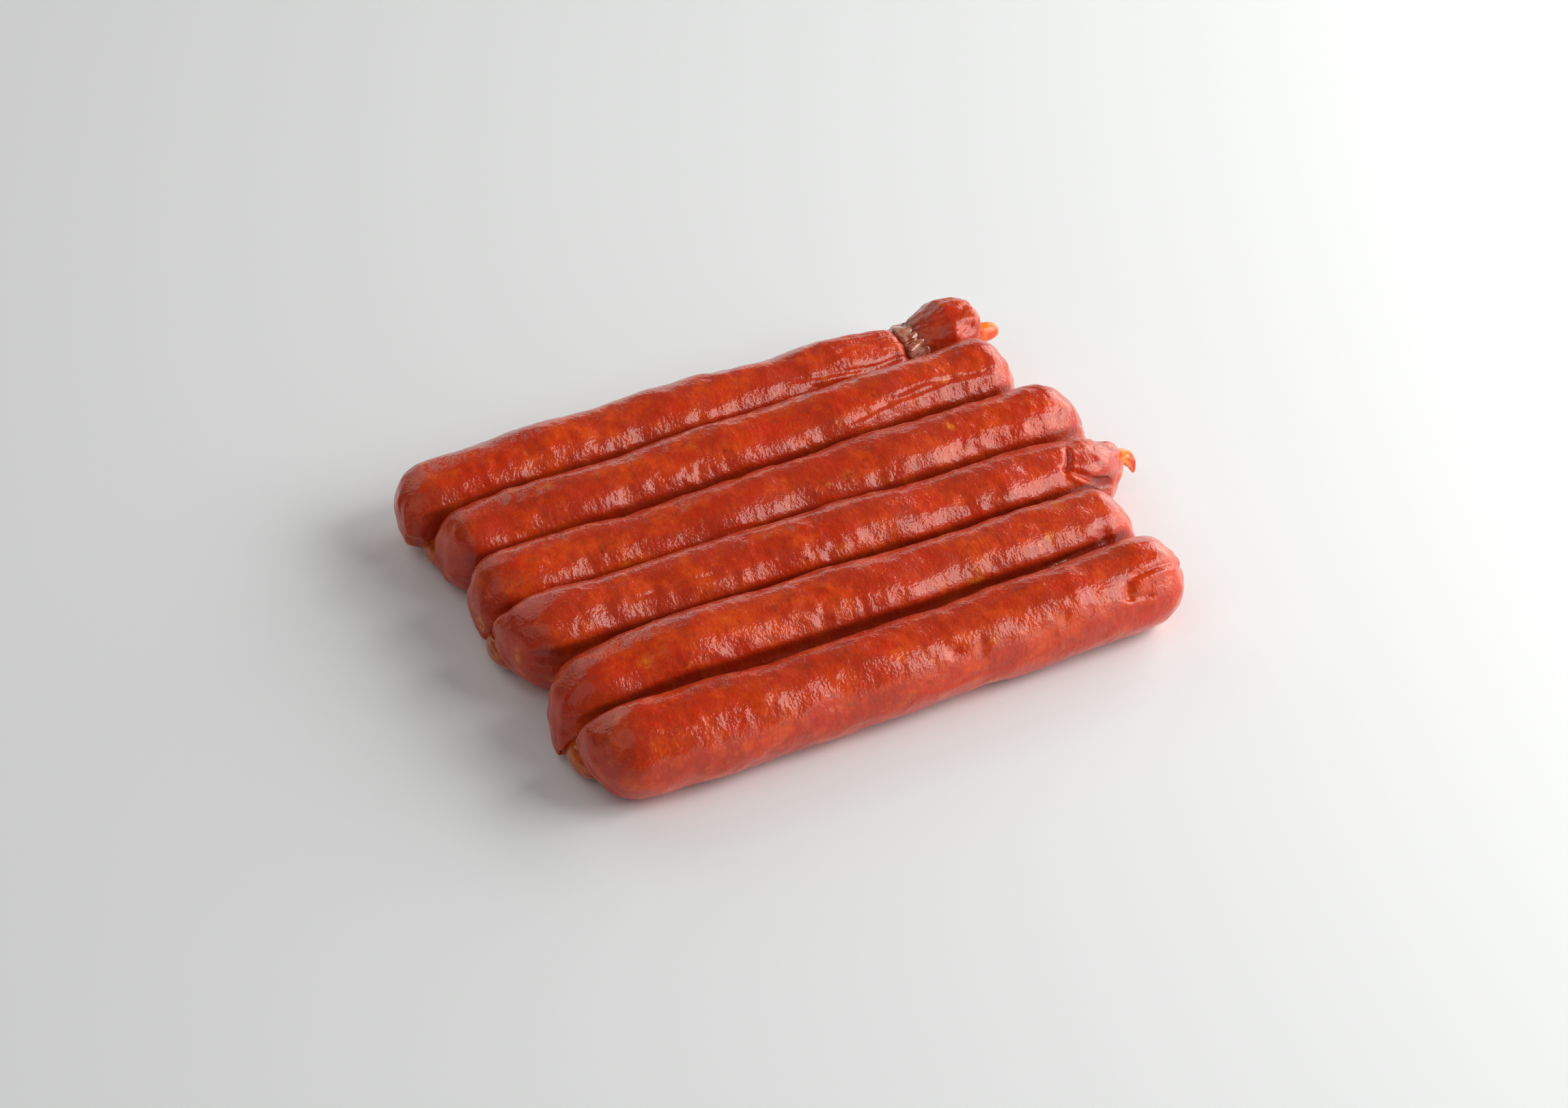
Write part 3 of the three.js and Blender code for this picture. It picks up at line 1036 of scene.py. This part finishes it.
@dataclass(frozen=True)
class PhotoCamera:
    """The photograph's viewpoint, solved from the links' outlines.

    azimuth 0 looks along +Y and elevation is above the table, in degrees. focal_pixels is the focal length in pixels
    of the photograph, which is frame_pixels wide.
    """

    azimuth: float = -26.92
    elevation: float = 36.58
    distance: float = 0.900
    aim: Triple = (-0.0105, -0.0061, 0.012)
    focal_pixels: float = 5225.0
    frame_pixels: float = 2296.0
    sensor: float = 36.0

    def build(self) -> None:
        """Makes the camera and gives it to the scene."""
        a, e = radians(self.azimuth), radians(self.elevation)
        back = Vector((sin(a) * cos(e), -cos(a) * cos(e), sin(e)))
        data = bpy.data.cameras.new("photo_camera")
        data.sensor_width = self.sensor
        data.lens = self.sensor * self.focal_pixels / self.frame_pixels
        camera = placed("photo_camera", data)
        camera.location = Vector(self.aim) + back * self.distance
        camera.rotation_euler = (-back).to_track_quat("-Z", "Y").to_euler()
        bpy.context.scene.camera = camera


@dataclass(frozen=True)
class SoftBox:
    """A rectangular studio light that faces the object.

    place is its centre, size its width and height, radiance its brightness against a white of 1, and up the direction
    that its height leans towards.
    """

    name: str
    place: Triple
    size: tuple[float, float]
    radiance: float
    up: Triple = (0.0, 0.0, 1.0)
    colour: Triple = (1.0, 0.96, 0.88)

    def build(self) -> None:
        """Makes the light."""
        data = bpy.data.lights.new(self.name, "AREA")
        data.shape = "RECTANGLE"
        data.size, data.size_y = self.size
        data.energy = self.radiance * pi * self.size[0] * self.size[1]
        data.color = self.colour
        away = Vector(self.place).normalized()
        across = Vector(self.up).cross(away).normalized()
        light = placed(self.name, data)
        light.location = self.place
        light.rotation_euler = Matrix((across, away.cross(across), away)).transposed().to_euler()


@dataclass(frozen=True)
class Studio:
    """Pale floor, soft surroundings that are brighter near the horizon, and the soft lights.

    horizon is the brightness of the band there at the left and at the right, sides the places along X between which it
    changes, horizon_top the heights between which it fades, and overhead the brightness above it.
    """

    boxes: tuple[SoftBox, ...] = (
        SoftBox("key_light", (0.62, -0.44, 0.54), (0.58, 0.58), 5.0, (0.0, 1.0, 1.0)),
        SoftBox("front_light", (0.56, -0.64, 0.24), (0.55, 0.36), 1.7),
        SoftBox("right_light", (0.92, 0.14, 0.38), (1.10, 0.66), 3.5),
        SoftBox("rear_light", (-0.20, 1.00, 0.72), (0.80, 0.80), 1.1),
        SoftBox("left_light", (-0.75, -0.25, 1.05), (1.20, 1.20), 0.75),
    )
    floor_colour: Colour = (0.88, 0.93, 1.0, 1.0)
    sky_colour: Colour = (1.0, 0.97, 0.92, 1.0)
    horizon: tuple[float, float] = (0.40, 1.1)
    sides: tuple[float, float] = (-0.3, 0.3)
    overhead: float = 0.05
    horizon_top: tuple[float, float] = (0.12, 0.28)

    def surroundings(self) -> None:
        """Makes the world's light: a bright band at the horizon, brighter on the right, and dim overhead."""
        world = bpy.data.worlds.new("studio")
        graph = Graph(world, "Background", "Generated")
        split = graph.node("ShaderNodeSeparateXYZ", {0: graph.coordinates})
        side = graph.ramp(split.outputs["X"], *self.sides, to=self.horizon)
        band = graph.ramp(split.outputs["Z"], *self.horizon_top, to=(1.0, 0.0))
        strength = graph.node("ShaderNodeMath", {0: side, 1: band, 2: self.overhead}, operation="MULTIPLY_ADD")
        graph.set(Strength=strength.outputs[0], Color=self.sky_colour)
        bpy.context.scene.world = world

    def floor(self) -> None:
        """Makes the pale floor."""
        graph = Graph(bpy.data.materials.new("pale_floor"))
        graph.set(Base_Color=self.floor_colour, Roughness=0.9)
        half, drop = 6.0, 0.02 * MM
        mesh = bpy.data.meshes.new("floor")
        square = [(-half, -half, 0.0), (half, -half, 0.0), (half, half, 0.0), (-half, half, 0.0)]
        mesh.from_pydata(square, [], [(0, 1, 2, 3)])
        floor = placed("floor", mesh)
        floor.location.z = -drop
        floor.data.materials.append(graph.owner)

    def build(self) -> None:
        """Makes the floor, the surroundings and the lights."""
        bpy.context.scene.view_settings.view_transform = "Standard"
        self.surroundings()
        self.floor()
        for box in self.boxes:
            box.build()


@dataclass
class SausageString:
    """The whole string: its links from back to front, what joins them and its loose ends."""

    links: tuple[Link, ...] = (
        Link(
            "link_1",
            seed=11,
            pressed=((161.0, 0.5 * MM),),
            creases=(
                Crease(-0.022, 0.040, 158, 14, 0.5 * MM, 0.8 * MM),
                Crease(0.020, 0.058, 128, 10),
                Crease(0.028, 0.060, 108, -4),
                Crease(0.034, 0.060, 88, 8),
                Crease(0.036, 0.060, 70, -3),
                Crease(0.040, 0.060, 145, -6),
            ),
            blunt=(1.2 * MM, 0.0),
            tied=9.7 * MM,
        ),
        Link(
            "link_2",
            seed=12,
            creases=(Crease(0.020, 0.066, 136, -12), Crease(0.036, 0.070, 118, 6)),
            dents=(Dent(0.077, 65, 7 * MM, 7 * MM, -1.4 * MM),),
        ),
        Link("link_3", seed=13, creases=(Crease(-0.030, 0.004, 150, 10, 0.25 * MM),)),
        Link(
            "link_4",
            seed=14,
            pressed=((20.0, 0.5 * MM), (161.0, 0.9 * MM)),
            waist=0.0689,
            creases=(Crease(-0.060, -0.030, 120, 6, 0.25 * MM), Crease(0.063, 0.082, 116, 56, 1.2 * MM, 1.0 * MM)),
            dents=(Dent(0.078, 174, 7 * MM, 4.5 * MM, 2.2 * MM), Dent(0.0825, 72, 4.5 * MM, 8 * MM, 1.2 * MM)),
            point=2.7 * MM,
        ),
        Link(
            "link_5",
            seed=15,
            pressed=((20.0, 0.9 * MM), (161.0, 1.0 * MM)),
            creases=(Crease(0.040, 0.066, 165, -10), Crease(0.046, 0.068, 195, -6)),
            dents=(Dent(0.0615, 146, 2.0 * MM, 2.4 * MM, 0.9 * MM), Dent(0.071, 128, 1.6 * MM, 1.6 * MM, 0.5 * MM)),
        ),
        Link(
            "link_6",
            seed=16,
            pressed=((20.0, 1.0 * MM),),
            wrinkles=0.03 * MM,
            creases=(
                Crease(0.055, 0.070, 127, -2, 0.7 * MM, 0.8 * MM),
                Crease(0.052, 0.062, 146, 12, 0.5 * MM),
                Crease(-0.010, 0.020, 175, 12, 0.25 * MM),
            ),
            dents=(
                Dent(0.0545, 143, 1.3 * MM, 2.6 * MM, 0.7 * MM),
                Dent(0.0045, 140, 2.2 * MM, 1.4 * MM, 0.6 * MM),
                Dent(0.0120, 150, 1.5 * MM, 2.4 * MM, 0.6 * MM),
                Dent(-0.0300, 158, 3.0 * MM, 1.6 * MM, 0.5 * MM),
            ),
        ),
    )
    twists: tuple[Twist, ...] = (
        neck("twist_1_2", 21, 0.9 * MM),
        Twist("twist_2_3", 22),
        neck("twist_3_4", 23, 0.9 * MM),
        Twist("twist_4_5", 24),
        neck("twist_5_6", 25, 0.4 * MM),
    )

    def build(self, finishes: Finishes) -> None:
        """Makes every piece of the string."""
        for link in self.links:
            link.build(finishes)
        for twist in self.twists:
            twist.build(finishes)
        TiedEnd().build(finishes)
        LooseTail().build(finishes)


def main() -> None:
    """Builds the camera, the studio and the string."""
    logging.basicConfig(level=logging.INFO, format="%(message)s")
    PhotoCamera().build()
    Studio().build()
    SausageString().build(Finishes())


if __name__ == "__main__":
    main()
